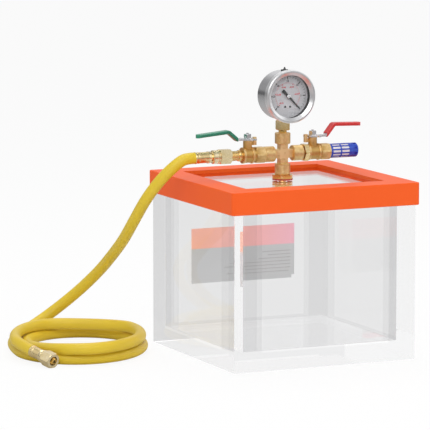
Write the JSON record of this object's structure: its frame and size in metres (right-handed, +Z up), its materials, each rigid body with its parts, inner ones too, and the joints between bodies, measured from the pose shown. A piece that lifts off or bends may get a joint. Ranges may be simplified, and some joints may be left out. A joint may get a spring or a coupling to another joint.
{
  "type": "vacuum chamber",
  "caption": "Clear square acrylic vacuum chamber: lid in an orange silicone seal, brass cross with gauge, lever ball valves and silencer, and a coiled yellow hose.",
  "frame": {"origin": "centre of the chamber's underside, without the hose", "axes": "+Z up, +X along the manifold towards the silencer, -Y towards the side the gauge faces"},
  "size_m": [0.4513, 0.3401, 0.3487],
  "materials": {
    "acrylic": "clear cast acrylic with polished faces",
    "silicone": "glossy moulded orange silicone",
    "label": "printed film, two plain fields",
    "brass": "turned and polished brass",
    "cast_brass": "blasted hot-pressed brass",
    "valve_brass": "turned brass",
    "red_washer": "red sealing washer",
    "seat_plastic": "white PTFE",
    "chrome_ball": "polished",
    "lever_steel": "bright zinc plate",
    "green_grip": "dipped green vinyl",
    "red_grip": "dipped red vinyl",
    "blue_plastic": "moulded blue plastic",
    "white_felt": "sintered white plastic",
    "gauge_chrome": "polished stainless steel",
    "black_rubber": "black rubber",
    "gauge_glass": "clear lens",
    "gauge_dial": "white dial with printed scales",
    "black_metal": "black paint",
    "movement_brass": "stamped brass",
    "yellow_hose": "yellow charging hose",
    "hose_brass": "turned brass, bright"
  },
  "bodies": {
    "chamber": {"base_plate": "acrylic", "front_wall": "acrylic", "back_wall": "acrylic", "left_wall": "acrylic", "right_wall": "acrylic", "lid_plate": "acrylic", "lid_seal": "silicone", "rear_label": "label", "bulkhead_fitting": "brass", "bulkhead_nut": "brass", "cross_fitting": "brass", "left_nipple": "brass", "right_lock_ring": "brass", "gauge_socket": "brass", "left_valve_body": "cast_brass", "right_valve_body": "cast_brass", "left_valve_retainer": "valve_brass", "right_valve_retainer": "valve_brass", "left_valve_gland": "valve_brass", "right_valve_gland": "valve_brass", "upper_washer": "red_washer", "lower_washer": "red_washer", "left_valve_seats": "seat_plastic", "right_valve_seats": "seat_plastic", "left_valve_packing": "seat_plastic", "right_valve_packing": "seat_plastic", "silencer_body": "blue_plastic", "silencer_felt": "white_felt", "gauge_case": "gauge_chrome", "gauge_bezel": "gauge_chrome", "gauge_lens_seal": "black_rubber", "gauge_vent_plug": "black_rubber", "gauge_lens": "gauge_glass", "gauge_dial": "gauge_dial", "gauge_dial_screws": "black_metal", "gauge_movement_plates": "movement_brass", "gauge_bourdon_tube": "movement_brass", "hose_drop": "yellow_hose", "hose_coil": "yellow_hose", "hose_end": "yellow_hose", "manifold_ferrule": "hose_brass", "manifold_tail": "hose_brass", "manifold_flare_nut": "hose_brass", "free_ferrule": "hose_brass", "free_tail": "hose_brass"},
    "left_lever": {"left_valve_ball": "chrome_ball", "left_valve_stem": "valve_brass", "left_valve_lever": "lever_steel", "left_valve_lever_grip": "green_grip", "left_valve_lever_nut": "lever_steel"},
    "right_lever": {"right_valve_ball": "chrome_ball", "right_valve_stem": "valve_brass", "right_valve_lever": "lever_steel", "right_valve_lever_grip": "red_grip", "right_valve_lever_nut": "lever_steel"},
    "gauge_sector": {"gauge_sector_gear": "movement_brass"},
    "gauge_pointer": {"gauge_pointer": "black_metal", "gauge_pinion": "movement_brass"},
    "free_nut": {"free_flare_nut": "hose_brass"}
  },
  "joints": [
    {"name": "left_valve_turn", "type": "hinge", "parent": "chamber", "child": "left_lever", "pos_m": [-0.0471, 0, 0.2429], "axis": [0, 0, 1], "range_deg": [-90, 0]},
    {"name": "right_valve_turn", "type": "hinge", "parent": "chamber", "child": "right_lever", "pos_m": [0.0405, 0, 0.2429], "axis": [0, 0, 1], "range_deg": [-90, 0]},
    {"name": "sector_swing", "type": "hinge", "parent": "chamber", "child": "gauge_sector", "pos_m": [0, 0, 0.29404], "axis": [0, -1, 0], "range_deg": [-38.57, 0]},
    {"name": "pointer_turn", "type": "hinge", "parent": "chamber", "child": "gauge_pointer", "pos_m": [0, 0, 0.3142], "axis": [0, -1, 0], "range_deg": [0, 270]},
    {"name": "free_nut_swivel", "type": "hinge", "parent": "chamber", "child": "free_nut", "pos_m": [-0.3123, 0.0393, 0.01552], "axis": [0.299, -0.937, -0.1805], "continuous": true}
  ],
  "couplings": [
    {"joint": "pointer_turn", "follows": "sector_swing", "ratio": -7}
  ]
}
